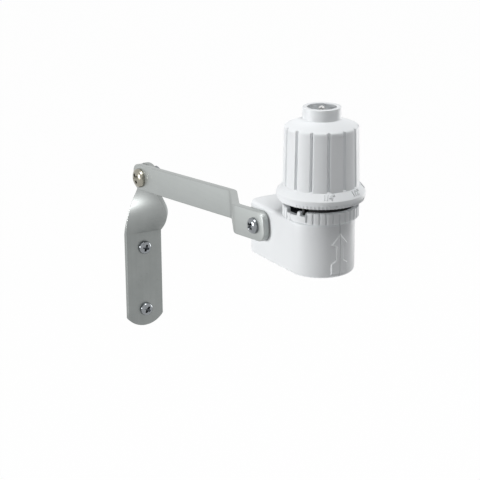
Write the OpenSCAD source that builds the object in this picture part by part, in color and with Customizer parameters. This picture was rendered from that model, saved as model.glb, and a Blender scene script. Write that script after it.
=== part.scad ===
// Rain sensor on a jointed aluminium arm. The wall is the plane Y = 0, +Z is up and the
// arm reaches out along -Y. The origin lies midway between the two wall screws.

/* [Bracket] */
// Width of the bracket strip
bracket_w = 19.8; // [17:0.2:24]
// Thickness of the bracket strip
bracket_t = 2.6; // [2.2:0.1:3.6]
// Distance between the two wall screws
wall_pitch = 33.2; // [28:0.2:40]
// Strip left beyond the lower wall screw, measured on the middle line
bracket_end = 9; // [7.5:0.1:11]
// Strip left above the pivot bolt, measured on the middle line
tab_end = 6.8; // [6.2:0.1:10]
// Radius of the strip's curved ends
bracket_end_r = 12.5; // [12:0.5:20]
// Height of the pivot above the middle of the wall screws
pivot_rise = 55.5; // [54:0.1:70]
// Height above the middle of the wall screws at which the strip starts to twist
twist_from = 24.1; // [23.5:0.1:28]
// Length over which the strip makes its quarter turn
twist_len = 24.2; // [20:0.2:25.8]

/* [Arm] */
// Distance from the pivot bolt to the clamp screw
arm_len = 130.8; // [120:0.2:150]
// Width of the arm strip
arm_w = 12.7; // [11:0.1:14.5]
// Thickness of the arm strip
arm_t = 3.2; // [2.8:0.1:4]
// Strip left beyond the screw at each end of the arm
arm_end = 7.4; // [6.4:0.1:9]
// Radius of the corners at the ends of the arm
arm_corner = 4.6; // [2:0.1:5.4]
// Rise of the arm towards the sensor, in degrees
arm_tilt = 5.8; // [0:0.2:20]
// Flat length between the second bend and the clamp screw
joggle_flat = 14.4; // [13:0.1:24]
// Angle of the two bends
joggle_angle = 28.5; // [22:0.5:40]
// Middle radius of the two bends
joggle_r = 9; // [3:0.5:12]

/* [Fasteners] */
// Radius of the wall screws over their threads
wall_screw_r = 1.75; // [1.5:0.05:2.2]
// Length of the wall screws under the head
wall_screw_len = 15; // [12:0.5:40]
// Radius of the wall screws' heads
wall_head_r = 3.4; // [3.2:0.05:4.2]
// Height of the wall screws' heads
wall_head_h = 2.3; // [2:0.1:2.8]
// Radius of the pivot bolt's shank
pivot_r = 2.4; // [2:0.05:2.8]
// Radius of the pivot bolt's head
pivot_head_r = 4.75; // [4.2:0.05:5.5]
// Height of the pivot bolt's head
pivot_head_h = 3; // [2.6:0.1:3.6]
// Radius of the clamp screw's shank
clamp_r = 1.75; // [1.5:0.05:2]
// Radius of the clamp screw's head
clamp_head_r = 3.45; // [3.2:0.05:4.2]
// Height of the clamp screw's head
clamp_head_h = 2.2; // [1.9:0.1:2.7]
// Radius of the small screws that close the housing
case_screw_r = 1.1; // [0.9:0.05:1.3]

/* [Housing] */
// Radius of the housing's round front, and half its width
case_r = 14; // [13.6:0.1:14.6]
// Height of the housing
case_h = 22.9; // [21.5:0.1:28]
// Distance from the sensor's axis to the back of the lobe
lobe_len = 35.4; // [34:0.2:44]
// Radius of the lobe's two upright corners
lobe_corner_r = 6; // [4.5:0.1:7]
// Rounding of the top edge
case_top_round = 1.6; // [0.8:0.1:2]
// Rounding of the bottom edge
case_low_round = 1.4; // [0.8:0.1:2]
// Thickness of the shells' walls
case_wall = 2; // [1.6:0.1:2.4]
// Distance from the sensor's axis back to the clamp screw
clamp_back = 23.7; // [22.5:0.1:25]
// Distance from the housing's top down to the clamp screw
clamp_drop = 8.3; // [8:0.1:10]
// Height that the arrow stands out of the front
arrow_relief = 0.4; // [0.2:0.05:0.8]

/* [Vent ring] */
// Outer radius over the knurls
ring_r = 15.5; // [15.2:0.1:16.5]
// Height of the ring
ring_h = 4.9; // [4:0.1:5.5]
// Number of knurls round the ring
ring_knurls = 36; // [24:1:40]
// Depth of the grooves between the knurls
knurl_depth = 0.5; // [0.3:0.05:0.8]
// Thickness of the ring's upright wall, over the knurls
ring_wall = 1.5; // [1.2:0.05:2]

/* [Cap] */
// Radius of the dial cap under its shoulder
cap_top_r = 14.9; // [14.7:0.1:15.1]
// Radius of the dial cap above its flange
cap_low_r = 15.5; // [15.2:0.1:16.5]
// Height from the flange's underside to the shoulder's edge
cap_body_h = 30.6; // [30:0.1:36]
// Radius of the flange
flange_r = 18.1; // [17.5:0.1:20]
// Height of the flange's marked cone
flange_cone_h = 2.95; // [2:0.05:4]
// Height of the flange's outer band
flange_band_h = 1.5; // [1:0.05:2.5]
// Height of the stepped band under it
flange_step_h = 2.2; // [1.5:0.05:3]
// Distance by which the stepped band lies inside the outer one
flange_step = 0.7; // [0.3:0.05:1]
// Number of flutes round the cap
flutes = 14; // [10:1:16]
// Width of a flute
flute_w = 1.5; // [1:0.05:2]
// Depth of a flute
flute_depth = 0.95; // [0.6:0.05:1.2]
// Outer radius of the collar
collar_r = 7.75; // [7:0.05:9]
// Wall of the collar
collar_wall = 1.9; // [1.5:0.05:2.2]
// Height of the collar over the shoulder
collar_h = 4.85; // [4:0.05:7]
// Rise of the shoulder from its edge to the collar
shoulder_rise = 2.7; // [2:0.1:4]

/* [Plunger] */
// Radius of the spindle
spindle_r = 1.35; // [1.2:0.05:1.5]
// Travel of the spindle
travel = 1.2; // [0.8:0.1:1.5]
// Radius of the absorbing discs
disc_r = 10; // [9:0.1:10.3]
// Height of the return spring at rest
spring_h = 5.45; // [4.5:0.05:6.5]
// Turns of the return spring
spring_turns = 4; // [3:0.5:5]
// Radius of the return spring's wire
spring_wire_r = 0.3; // [0.2:0.02:0.35]

/* [Switch] */
// Length of the switch
switch_len = 12.8; // [12:0.1:13.4]
// Width of the switch
switch_w = 5.8; // [5:0.1:6.4]
// Height of the switch's case
switch_h = 6.5; // [6:0.1:7]
// Distance between the switch's two mounting holes
switch_pitch = 6.5; // [6:0.1:7]
// Radius of the switch's button
button_r = 0.9; // [0.7:0.05:1.1]
// Radius of the cable that the inlet seals on
cable_r = 2.1; // [1.6:0.05:2.4]

/* [Fits] */
// Radial clearance of a part that turns or slides
run_gap = 0.05; // [0.03:0.01:0.08]
// Radial clearance of a bolt in its hole
bolt_gap = 0.15; // [0.1:0.01:0.25]
// Gap between the absorbing discs and what surrounds them
disc_gap = 0.8; // [0.5:0.1:1]
// Gap between the vent ring and the flange over it
vent_gap = 1.75; // [1.4:0.05:2.5]
// Air under the turning vent ring
ring_lift = 0.1; // [0.05:0.01:0.2]

/* [Hidden] */
$fn = 96;
// Overrun of every cut past the face it opens
over = 1;
// Steps of a rounded edge and of a bend
round_steps = 5;
bend_steps = 8;
round_floor = 0.4;
// Sections of the quarter turn
twist_steps = 20;
half_share = 0.5;

// A washer parts the arm from the tab, clear of the twist. The sensor's middle plane is
// the plane of the arm's inner face.
washer_t = 0.4;
meet_x = -bracket_t / 2 - washer_t;
pivot_y = -bracket_w / 2;
clamp_y = pivot_y - arm_len * cos(arm_tilt);
clamp_z = pivot_rise + arm_len * sin(arm_tilt);
sensor_y = clamp_y - clamp_back;
sensor_z = clamp_z + clamp_drop;
// Sideways offset of the arm's end, whose back face lies on the housing's flat side
joggle_out = case_r;
// Distance from the pivot bolt to the first bend
joggle_run = 2 * joggle_r * sin(joggle_angle)
    + (joggle_out - 2 * joggle_r * (1 - cos(joggle_angle))) / tan(joggle_angle);
joggle_from = arm_len - joggle_flat - joggle_run;

// Fasteners
recess_depth_share = 0.6;
recess_len_share = 1.15;
recess_w_share = 0.26;
pivot_nut_flats = 8;
pivot_nut_h = 4;
pivot_washer_r = 5;
pivot_bolt_over = 0.8;
wall_shank_share = 0.9;
wall_shank_over = 0.4;
wall_tip = 3.5;
wall_tip_share = 0.15;
clamp_nut_flats = 6;
clamp_nut_h = 2.6;
clamp_washer_r = 3.9;
clamp_washer_t = 0.8;
recess_gap = 0.2;
clamp_pocket_r = clamp_washer_r + bolt_gap;
clamp_pocket = clamp_nut_h + clamp_washer_t + recess_gap;
case_head_r = 1.9;
case_head_h = 1.2;
case_screw_bite = 9;
case_sink = case_head_h + recess_gap;
boss_wall = 1.4;
clamp_boss_r = clamp_pocket_r + boss_wall;
case_boss_r = case_head_r + bolt_gap + boss_wall * half_share;
// Places of the housing's small screws: back along the lobe, and up from the underside.
// Their bosses grow a little into the walls beside them.
boss_sink = 0.3;
case_screw_low = case_wall + case_boss_r - boss_sink;
case_screw_places = [
    [clamp_back - clamp_boss_r - case_boss_r - boss_wall, case_screw_low - case_h],
    [lobe_len - case_screw_low, case_screw_low - case_h],
    [lobe_len - case_screw_low, -case_screw_low]];

// Hub under the cap
hub_wall = 1.6;
hub_floor = 1.5;
cap_wall = 2.1;
hub_r = cap_low_r - flute_depth - cap_wall - run_gap;
neck_r = 9;
lip_r = 10.5;
lip_h = 1.5;
hub_slot_h = 2.6;

// Vent ring
ring_bore_r = hub_r + run_gap;
ring_foot = 1.9;
knurl_w = 0.75;
window_angle = -75;
window_span = 37;
window_depth = 1.5;
window_post = 5;
post_off = 7;
pad_span = 29;
pad_angle = -70;
pad_out = 0.35;
pad_low = 0.9;

// Cap, from its flange's underside up
cap_z = ring_h + vent_gap;
band_z = flange_step_h;
cone_z = band_z + flange_band_h;
wall_z = cone_z + flange_cone_h;
shoulder_round = 1.2;
bore_share = 0.333;
cap_bore_h = cap_body_h * bore_share;
hub_top_gap = 0.8;
hub_h = cap_z + cap_bore_h - hub_top_gap;
ceiling_t = 2.9;
ceiling_z = cap_body_h - ceiling_t;
collar_z = cap_body_h + shoulder_rise;
collar_floor = 1.9;
collar_bore_r = collar_r - collar_wall;
inlet_r = 1.15;
inlets = 4;
flute_phase = 3;

// Plunger
tip_over = 0.3;
tip_h = 1.5;
blade_w = 1.0;
seat_r = 3.2;
seat_h = 1;
carrier_t = 2;
carrier_r = disc_r - disc_gap * half_share;
disc_bore_r = spindle_r + bolt_gap;
discs = 6;
ceiling_air = 0.4;
stack_top = cap_z + ceiling_z - ceiling_air;
seat_z = hub_floor + spring_h;
carrier_z = seat_z + seat_h;
stack_z = carrier_z + carrier_t;
disc_t = (stack_top - stack_z) / discs;
wire_inset = 0.1;
spring_r = seat_r - spring_wire_r - wire_inset;
drain_r = 1;
drain_pitch_share = 0.62;

// Switch
blade_len = 3.5;
switch_room = case_h - 2 * case_wall - lip_h - switch_h - blade_len;
switch_share = 0.6;
switch_top = -case_wall - lip_h - switch_room * switch_share;
button_over = 1.4;
button_in = 1.2;
button_off = 1.4;
pin_r = 1.05;
pin_up = 1.6;
pin_boss_r = 2;
socket_depth = 1.5;
blade_t = 0.5;
blade_wide = 1.2;
blade_pitch = 5.08;

// Inlet
grommet_back = clamp_back + 0.3;
grommet_neck_r = cable_r + 0.9;
grommet_flange_r = grommet_neck_r + 1;
grommet_flange_h = 1.4;

// Arrow on the housing's front, half of it: across from the seam, and down from the top
arrow_half_w = 4;
arrow_stem_w = 1.9;
arrow_tip = 4;
arrow_barb = 8.8;
arrow_notch = 9.6;
arrow_stem_end = 15.4;
arrow_foot = 16.8;

// Points of an arc about a centre
function arc(c, r, a, b, n) =
    [for (i = [0 : n]) c + r * [cos(a + (b - a) * i / n), sin(a + (b - a) * i / n)]];

// Outline of a plate's rounded rim, from the axis outwards and back, top at 0
function rim(r, h, top, low) = concat(
    [[0, -h]],
    arc([r - low, low - h], low, -90, 0, round_steps),
    arc([r - top, -top], top, 0, 90, round_steps),
    [[0, 0]]);

// Turns an outline drawn across X and up Z into a bar along +Y
module bar_y(len) {
    translate([0, len, 0]) rotate([90, 0, 0]) linear_extrude(len) children();
}

// Cylinder along +X from x to x + len
module rod_x(r, x, len) {
    translate([x, 0, 0]) rotate([0, 90, 0]) cylinder(r = r, h = len);
}

// Domed head with a cross recess, standing on its seat and facing +Z
module pan_head(r, h) {
    edge = h * half_share;
    difference() {
        rotate_extrude() polygon(concat(
            [[0, 0], [r, 0], [r, edge * half_share]],
            arc([r - edge, h - edge], edge, 15, 75, round_steps),
            [[0, h]]));
        for (turn = [0, 90])
            rotate(turn) translate([0, 0, h])
                cube([r * recess_len_share, r * recess_w_share, 2 * h * recess_depth_share],
                    center = true);
    }
}

// Screw or bolt along +Z, its head's seat at 0 and its shank below
module screw(r, len, head_r, head_h) {
    pan_head(head_r, head_h);
    translate([0, 0, -len]) cylinder(r = r, h = len);
}

// Hexagonal nut on a bolt of radius r
module nut(flats, h, r) {
    difference() {
        cylinder(r = flats * half_share / cos(30), h = h, $fn = 6);
        translate([0, 0, -over]) cylinder(r = r, h = h + 2 * over);
    }
}

module washer(r_out, r_in, h) {
    difference() {
        cylinder(r = r_out, h = h);
        translate([0, 0, -over]) cylinder(r = r_in, h = h + 2 * over);
    }
}

// Places its children at the pivot, with +Z of the children along -X
module at_pivot() {
    translate([0, pivot_y, pivot_rise]) rotate([0, -90, 0]) children();
}

module at_sensor() {
    translate([meet_x, sensor_y, sensor_z]) children();
}

// Strip end: the strip's width cut by a shallow arc, whose top lies at end_z
module end_cut(end_z) {
    translate([0, end_z - bracket_end_r]) circle(r = bracket_end_r, $fn = 160);
}

// Section of the twisted length at a share of its quarter turn, its rear corner on the wall,
// moved up by rise
function twist_section(share, rise = 0) = let (
        a = 90 * share,
        z = twist_from + twist_len * share + rise,
        c = [0, -bracket_t / 2 * cos(a) - bracket_w / 2 * sin(a)],
        u = [cos(a), -sin(a)] * bracket_w / 2,
        v = [sin(a), cos(a)] * bracket_t / 2)
    [for (s = [[-1, -1], [1, -1], [1, 1], [-1, 1]])
        [c[0] + s[0] * u[0] + s[1] * v[0], c[1] + s[0] * u[1] + s[1] * v[1], z]];

// The twisted length, run a little into the flat lengths on both sides
module twisted_length() {
    n = twist_steps + 2;
    points = concat(twist_section(0, -over),
        [for (i = [0 : twist_steps]) each twist_section(i / twist_steps)],
        twist_section(1, over));
    sides = [for (i = [0 : n - 1], k = [0 : 3]) each
        let (a = 4 * i + k, b = 4 * i + (k + 1) % 4)
        [[a, a + 4, b + 4], [a, b + 4, b]]];
    ends = [[0, 1, 2], [0, 2, 3], [4 * n + 2, 4 * n + 1, 4 * n], [4 * n + 3, 4 * n + 2, 4 * n]];
    polyhedron(points, concat(sides, ends), convexity = 4);
}

module wall_bracket() color("silver") difference() {
    union() {
        low_end = -wall_pitch / 2 - bracket_end;
        rotate([90, 0, 0]) linear_extrude(bracket_t) intersection() {
            translate([-bracket_w / 2, low_end])
                square([bracket_w, twist_from - low_end]);
            mirror([0, 1]) union() {
                end_cut(-low_end);
                translate([-bracket_w, -twist_from - over])
                    square([2 * bracket_w, twist_from + over - low_end - bracket_end]);
            }
        }
        twisted_length();
        tab_z = twist_from + twist_len;
        tab_top = pivot_rise + tab_end;
        translate([-bracket_t / 2, 0, 0]) rotate([90, 0, 90]) linear_extrude(bracket_t)
            intersection() {
                translate([-bracket_w, tab_z]) square([bracket_w, tab_top - tab_z]);
                translate([pivot_y, 0]) union() {
                    end_cut(tab_top);
                    translate([-bracket_w, tab_z - over])
                        square([2 * bracket_w, pivot_rise - tab_z + over]);
                }
            }
    }
    for (side = [-1, 1])
        translate([0, over, side * wall_pitch / 2]) rotate([90, 0, 0])
            cylinder(r = wall_screw_r + bolt_gap, h = bracket_t + 2 * over);
    at_pivot() translate([0, 0, -bracket_t / 2 - over])
        cylinder(r = pivot_r + bolt_gap, h = bracket_t + 2 * over);
}

module wall_screws() color("gainsboro")
    for (side = [-1, 1])
        translate([0, -bracket_t, side * wall_pitch / 2]) rotate([90, 0, 0]) {
            plain = bracket_t + wall_shank_over;
            screw(wall_screw_r * wall_shank_share, plain, wall_head_r, wall_head_h);
            translate([0, 0, wall_tip - wall_screw_len])
                cylinder(r = wall_screw_r, h = wall_screw_len - wall_tip - plain);
            translate([0, 0, -wall_screw_len])
                cylinder(r1 = wall_screw_r * wall_tip_share, r2 = wall_screw_r, h = wall_tip);
        }

pivot_grip = arm_t + washer_t + bracket_t;
module pivot_bolt() color("tan") at_pivot() translate([0, 0, arm_t - meet_x])
    screw(pivot_r, pivot_grip + pivot_nut_h + pivot_bolt_over, pivot_head_r, pivot_head_h);

module pivot_washer() color("silver") at_pivot()
    translate([0, 0, bracket_t / 2])
        washer(pivot_washer_r, pivot_r + bolt_gap, washer_t);

module pivot_nut() color("silver") at_pivot()
    translate([0, 0, -bracket_t / 2 - pivot_nut_h])
        nut(pivot_nut_flats, pivot_nut_h, pivot_r);

// Side view of the joggled strip: along the arm, and across its thickness from the middle line
function joggle_profile() = let (
        r = joggle_r, t = arm_t / 2, b = joggle_angle, n = bend_steps,
        c1 = [joggle_from, -r],
        c2 = [joggle_from + joggle_run, r - joggle_out],
        end = arm_len + arm_w)
    concat(
        [[-arm_w, -t], [-arm_w, t]],
        arc(c1, r + t, 90, 90 - b, n),
        arc(c2, r - t, 270 - b, 270, n),
        [[end, t - joggle_out], [end, -t - joggle_out]],
        arc(c2, r + t, 270, 270 - b, n),
        arc(c1, r - t, 90 - b, 90, n));

module arm() color("lightgray")
    translate([meet_x, pivot_y, pivot_rise]) rotate([-arm_tilt, 0, 0]) rotate([0, 0, -90])
    difference() {
        intersection() {
            translate([0, -arm_t / 2, -arm_w / 2])
                linear_extrude(arm_w) polygon(joggle_profile());
            rotate([90, 0, 0]) translate([0, 0, -arm_w])
                linear_extrude(joggle_out + 3 * arm_w)
                    offset(r = arm_corner) offset(delta = -arm_corner)
                        translate([-arm_end, -arm_w / 2])
                            square([arm_len + 2 * arm_end, arm_w]);
        }
        for (hole = [[0, pivot_r], [arm_len, clamp_r]])
            translate([hole[0], arm_w, 0]) rotate([90, 0, 0])
                cylinder(r = hole[1] + run_gap, h = joggle_out + 3 * arm_w);
    }

// Places its children at the clamp screw, with +Z of the children along -X
module at_clamp() {
    at_sensor() translate([0, clamp_back, -clamp_drop]) rotate([0, -90, 0]) children();
}

clamp_grip = arm_t + 2 * case_r - clamp_pocket + clamp_washer_t;
module clamp_screw() color("gainsboro") at_clamp() translate([0, 0, case_r + arm_t])
    screw(clamp_r, clamp_grip + clamp_nut_h, clamp_head_r, clamp_head_h);

module clamp_washer() color("silver") at_clamp()
    translate([0, 0, clamp_pocket - clamp_washer_t - case_r])
        washer(clamp_washer_r, clamp_r + bolt_gap, clamp_washer_t);

module clamp_nut() color("silver") at_clamp()
    translate([0, 0, clamp_pocket - clamp_washer_t - clamp_nut_h - case_r])
        nut(clamp_nut_flats, clamp_nut_h, clamp_r);

// Outer form of the switch housing, drawn in by inset: a round front that runs
// straight back into a lobe with two rounded corners, its top at 0
module housing_form(inset) {
    r = case_r - inset;
    corner = lobe_corner_r - inset;
    h = case_h - 2 * inset;
    top = max(case_top_round - inset, round_floor);
    low = max(case_low_round - inset, round_floor);
    corner_y = lobe_len - lobe_corner_r;
    across = rim(r, h, top, low);
    translate([0, 0, -inset]) {
        rotate_extrude() polygon(across);
        bar_y(corner_y) union() {
            polygon(across);
            mirror([1, 0]) polygon(across);
        }
        for (side = [-1, 1])
            translate([side * (case_r - lobe_corner_r), corner_y, 0])
                rotate_extrude() polygon(rim(corner, h, top, low));
        translate([lobe_corner_r - case_r, 0, 0]) rotate([90, 0, 90])
            linear_extrude(2 * (case_r - lobe_corner_r))
                polygon(rim(lobe_len - inset, h, top, low));
    }
}

// Bosses that tie the shells together, from wall to wall
module housing_bosses() {
    translate([0, clamp_back, -clamp_drop]) rod_x(clamp_boss_r, -case_r + over, 2 * (case_r - over));
    for (place = case_screw_places)
        translate([0, place[0], place[1]]) rod_x(case_boss_r, -case_r + over, 2 * (case_r - over));
    for (y = [-1, 1], side = [-1, 1])
        translate([0, button_off + y * switch_pitch / 2, switch_top - switch_h + pin_up])
            rod_x(pin_boss_r, side < 0 ? -case_r + over : switch_w / 2,
                case_r - over - switch_w / 2);
}

// Both shells as one, with their bores, before they are split at the seam
module housing_whole() {
    difference() {
        union() {
            difference() {
                housing_form(0);
                housing_form(case_wall);
            }
            intersection() {
                housing_form(case_wall * half_share);
                housing_bosses();
            }
            intersection() {
                arrow();
                translate([0, 0, -case_h]) difference() {
                    cylinder(r = case_r + arrow_relief, h = case_h);
                    cylinder(r = case_r - case_wall * half_share, h = case_h);
                }
            }
        }
        translate([0, 0, -case_wall - over]) cylinder(r = neck_r, h = case_wall + 2 * over);
        translate([0, clamp_back, -clamp_drop]) {
            rod_x(clamp_r + run_gap, -case_r - over, 2 * (case_r + over));
            rod_x(clamp_pocket_r, case_r - clamp_pocket, clamp_pocket + over);
        }
        for (place = case_screw_places)
            translate([0, place[0], place[1]]) {
                rod_x(case_screw_r + bolt_gap, 0, case_r + over);
                rod_x(case_screw_r, -case_screw_bite, case_screw_bite + over);
                rod_x(case_head_r + bolt_gap, case_r - case_sink, case_sink + over);
            }
        translate([0, grommet_back, -case_h - over])
            cylinder(r = grommet_neck_r, h = case_wall + 2 * over);
    }
}

// The raised arrow, pointing up, that the cap's marks are read against
module arrow() {
    side = [[0, -arrow_tip], [arrow_half_w, -arrow_barb], [arrow_stem_w, -arrow_notch],
        [arrow_stem_w, -arrow_stem_end], [arrow_half_w, -arrow_foot],
        [arrow_half_w, -case_h + case_low_round], [0, -case_h + case_low_round]];
    rotate([90, 0, 0]) linear_extrude(case_r + over) union() {
        polygon(side);
        mirror([1, 0]) polygon(side);
    }
}

// The half of the space on one side of the seam
module half_space(side) {
    size = 2 * (lobe_len + case_h);
    translate([side * size / 2, 0, 0]) cube(size, center = true);
}

module switch_pins() {
    for (y = [-1, 1])
        translate([0, button_off + y * switch_pitch / 2, switch_top - switch_h + pin_up])
            children();
}

module housing_left() color("whitesmoke") at_sensor() union() {
    intersection() {
        housing_whole();
        half_space(-1);
    }
    switch_pins() rod_x(pin_r, -switch_w / 2 - over, switch_w + over + socket_depth);
}

module housing_right() color("whitesmoke") at_sensor() difference() {
    intersection() {
        housing_whole();
        half_space(1);
    }
    switch_pins() rod_x(pin_r, switch_w / 2 - over, over + socket_depth);
}

module housing_screws() color("gainsboro") at_sensor()
    for (place = case_screw_places)
        translate([case_r - case_sink, place[0], place[1]]) rotate([0, 90, 0])
            screw(case_screw_r, case_r - case_sink + case_screw_bite, case_head_r, case_head_h);

module cable_grommet() color("dimgray") at_sensor() translate([0, grommet_back, -case_h])
    difference() {
        union() {
            translate([0, 0, -grommet_flange_h])
                cylinder(r = grommet_flange_r, h = grommet_flange_h);
            cylinder(r = grommet_neck_r, h = case_wall);
            translate([0, 0, case_wall])
                cylinder(r = grommet_flange_r, h = grommet_flange_h);
        }
        translate([0, 0, -grommet_flange_h - over])
            cylinder(r = cable_r, h = case_wall + 2 * (grommet_flange_h + over));
    }

// Slotted sleeve that the cap and the vent ring turn on, gripped by both shells at its neck
module vent_hub() color("dimgray") at_sensor() difference() {
    union() {
        cylinder(r = hub_r, h = hub_h);
        translate([0, 0, -case_wall]) cylinder(r = neck_r, h = case_wall + over);
        translate([0, 0, -case_wall - lip_h]) cylinder(r = lip_r, h = lip_h);
    }
    translate([0, 0, hub_floor]) cylinder(r = hub_r - hub_wall, h = hub_h);
    translate([0, 0, -case_wall - lip_h - over])
        cylinder(r = spindle_r + run_gap, h = case_wall + lip_h + hub_floor + 2 * over);
    translate([0, 0, ring_h - window_depth]) windows(hub_slot_h);
}

// Wedge of a ring between two angles from the front, seen from above
module wedge(from, to, r, h) {
    far = 2 * r;
    linear_extrude(h) polygon(concat([[0, 0]],
        [for (i = [0 : 3]) let (a = from + (to - from) * i / 3) far * [sin(a), -cos(a)]]));
}

// Both pairs of vent openings, each pair parted by a post, as solids of height h
module windows(h) {
    post = window_angle + post_off;
    for (turn = [0, 180]) rotate(turn) {
        wedge(window_angle - window_span / 2, post - window_post / 2, ring_r, h);
        wedge(post + window_post / 2, window_angle + window_span / 2, ring_r, h);
    }
}

module vent_ring() color("whitesmoke") at_sensor() translate([0, 0, ring_lift]) difference() {
    h = ring_h - ring_lift;
    union() {
        difference() {
            cylinder(r = ring_r, h = h);
            for (i = [0 : ring_knurls - 1])
                rotate((i + half_share) * 360 / ring_knurls)
                    translate([ring_r - knurl_depth, -knurl_w / 2, -over])
                        cube([knurl_depth + over, knurl_w, h + 2 * over]);
        }
        for (turn = [0, 180]) rotate(turn) intersection() {
            wedge(pad_angle - pad_span / 2, pad_angle + pad_span / 2, ring_r, h - window_depth);
            translate([0, 0, pad_low]) cylinder(r = ring_r + pad_out, h = h);
        }
    }
    translate([0, 0, -over]) cylinder(r = ring_bore_r, h = h + 2 * over);
    translate([0, 0, ring_foot]) cylinder(r = ring_r - ring_wall, h = h);
    translate([0, 0, h - window_depth]) windows(window_depth + over);
}

// Outline of the cap's outside from the flange's underside up to the collar
function cap_outline() = let (
        lean = atan((cap_low_r - cap_top_r) / (cap_body_h - wall_z)),
        slope = atan(shoulder_rise / (cap_top_r - collar_r)),
        corner = [cap_top_r, cap_body_h])
    concat(
        [[flange_r - flange_step, 0], [flange_r - flange_step, band_z], [flange_r, band_z],
         [flange_r, cone_z], [cap_low_r, wall_z]],
        arc(corner - shoulder_round * [1, half_share], shoulder_round, lean, 90 - slope,
            round_steps),
        [[collar_r, collar_z], [collar_r, collar_z + collar_h]]);

module cap() color("whitesmoke") at_sensor() translate([0, 0, cap_z]) difference() {
    rotate_extrude() polygon(concat([[0, 0]], cap_outline(), [[0, collar_z + collar_h]]));
    translate([0, 0, -over]) cylinder(r = hub_r + run_gap, h = cap_bore_h + over);
    cylinder(r = hub_r - hub_wall * half_share, h = ceiling_z);
    translate([0, 0, ceiling_z + collar_floor])
        cylinder(r = collar_bore_r, h = collar_z + collar_h);
    cylinder(r = spindle_r + run_gap, h = collar_z);
    for (i = [0 : inlets - 1])
        rotate(45 + 360 * i / inlets) translate([(collar_bore_r + spindle_r) / 2, 0, 0])
            cylinder(r = inlet_r, h = collar_z);
    draft = atan((cap_low_r - cap_top_r) / (cap_body_h - wall_z));
    for (i = [0 : flutes - 1])
        rotate(flute_phase - 90 + 360 * i / flutes)
            translate([cap_low_r - flute_depth, 0, wall_z]) rotate([0, -draft, 0])
                translate([0, -flute_w / 2, 0])
                    cube([flute_depth + over, flute_w, cap_body_h]);
}

module spindle() color("white") at_sensor() {
    bottom = switch_top + button_over;
    top = cap_z + collar_z + collar_h + tip_over;
    translate([0, 0, bottom]) cylinder(r = spindle_r, h = top - tip_h - bottom);
    translate([0, 0, seat_z]) cylinder(r = seat_r, h = seat_h);
    // Cross-shaped tip, cut to a blunt pyramid
    translate([0, 0, top - tip_h]) intersection() {
        union() {
            for (turn = [0, 90])
                rotate(turn) translate([-spindle_r, -blade_w / 2, 0])
                    cube([2 * spindle_r, blade_w, tip_h]);
        }
        tip_wall();
        rotate(90) tip_wall();
        cylinder(r = spindle_r, h = tip_h);
    }
}

// Roof-shaped bar that slopes the tip's two sides
module tip_wall() {
    translate([0, spindle_r, 0]) rotate([90, 0, 0]) linear_extrude(2 * spindle_r)
        polygon([[-spindle_r, 0], [spindle_r, 0], [spindle_r, tip_h * half_share],
            [0, tip_h], [-spindle_r, tip_h * half_share]]);
}

module disc_carrier() color("whitesmoke") at_sensor() translate([0, 0, carrier_z]) difference() {
    cylinder(r = carrier_r, h = carrier_t);
    translate([0, 0, -over]) cylinder(r = spindle_r, h = carrier_t + 2 * over);
    for (i = [0 : inlets - 1])
        rotate(360 * i / inlets) translate([carrier_r * drain_pitch_share, 0, -over])
            cylinder(r = drain_r, h = carrier_t + 2 * over);
}

// One absorbing disc, counted from the bottom of the stack
module absorbing_disc(i) color("burlywood") at_sensor() translate([0, 0, stack_z + i * disc_t])
    difference() {
        cylinder(r = disc_r, h = disc_t);
        translate([0, 0, -over]) cylinder(r = disc_bore_r, h = disc_t + 2 * over);
    }

// Helical wire between the hub's floor and the spindle's seat
module return_spring() color("silver") at_sensor() {
    sides = 6;
    rings = ceil(spring_turns * 12);
    low = hub_floor + spring_wire_r;
    high = seat_z - spring_wire_r;
    points = [for (i = [0 : rings]) let (
            a = 360 * spring_turns * i / rings,
            z = low + (high - low) * i / rings)
        for (k = [0 : sides - 1]) let (
            b = 360 * k / sides,
            r = spring_r + spring_wire_r * cos(b))
            [r * cos(a), r * sin(a), z + spring_wire_r * sin(b)]];
    skin = [for (i = [0 : rings - 1], k = [0 : sides - 1]) each let (
            a = sides * i + k, b = sides * i + (k + 1) % sides)
        [[a, b, b + sides], [a, b + sides, a + sides]]];
    last = sides * rings;
    ends = [for (k = [1 : sides - 2]) each
        [[0, k + 1, k], [last, last + k, last + k + 1]]];
    polyhedron(points, concat(skin, ends), convexity = 6);
}

module switch_body() color("black") at_sensor() difference() {
    translate([-switch_w / 2, button_off - switch_len / 2, switch_top - switch_h])
        cube([switch_w, switch_len, switch_h]);
    translate([0, 0, switch_top - button_in - travel - recess_gap])
        cylinder(r = button_r + run_gap, h = switch_h);
    switch_pins() rod_x(pin_r + run_gap, -switch_w, 2 * switch_w);
}

module switch_button() color("firebrick") at_sensor()
    translate([0, 0, switch_top - button_in])
        cylinder(r = button_r, h = button_in + button_over);

module switch_terminals() color("goldenrod") at_sensor()
    for (i = [-1 : 1])
        translate([-blade_t / 2, button_off + i * blade_pitch - blade_wide / 2,
                switch_top - switch_h - blade_len])
            cube([blade_t, blade_wide, blade_len]);

wall_bracket();
wall_screws();
pivot_bolt();
pivot_washer();
pivot_nut();
arm();
clamp_screw();
clamp_washer();
clamp_nut();
housing_left();
housing_right();
housing_screws();
cable_grommet();
vent_hub();
vent_ring();
cap();
spindle();
disc_carrier();
absorbing_disc(0);  // disc_1
absorbing_disc(1);  // disc_2
absorbing_disc(2);  // disc_3
absorbing_disc(3);  // disc_4
absorbing_disc(4);  // disc_5
absorbing_disc(5);  // disc_6
return_spring();
switch_body();
switch_button();
switch_terminals();
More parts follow.
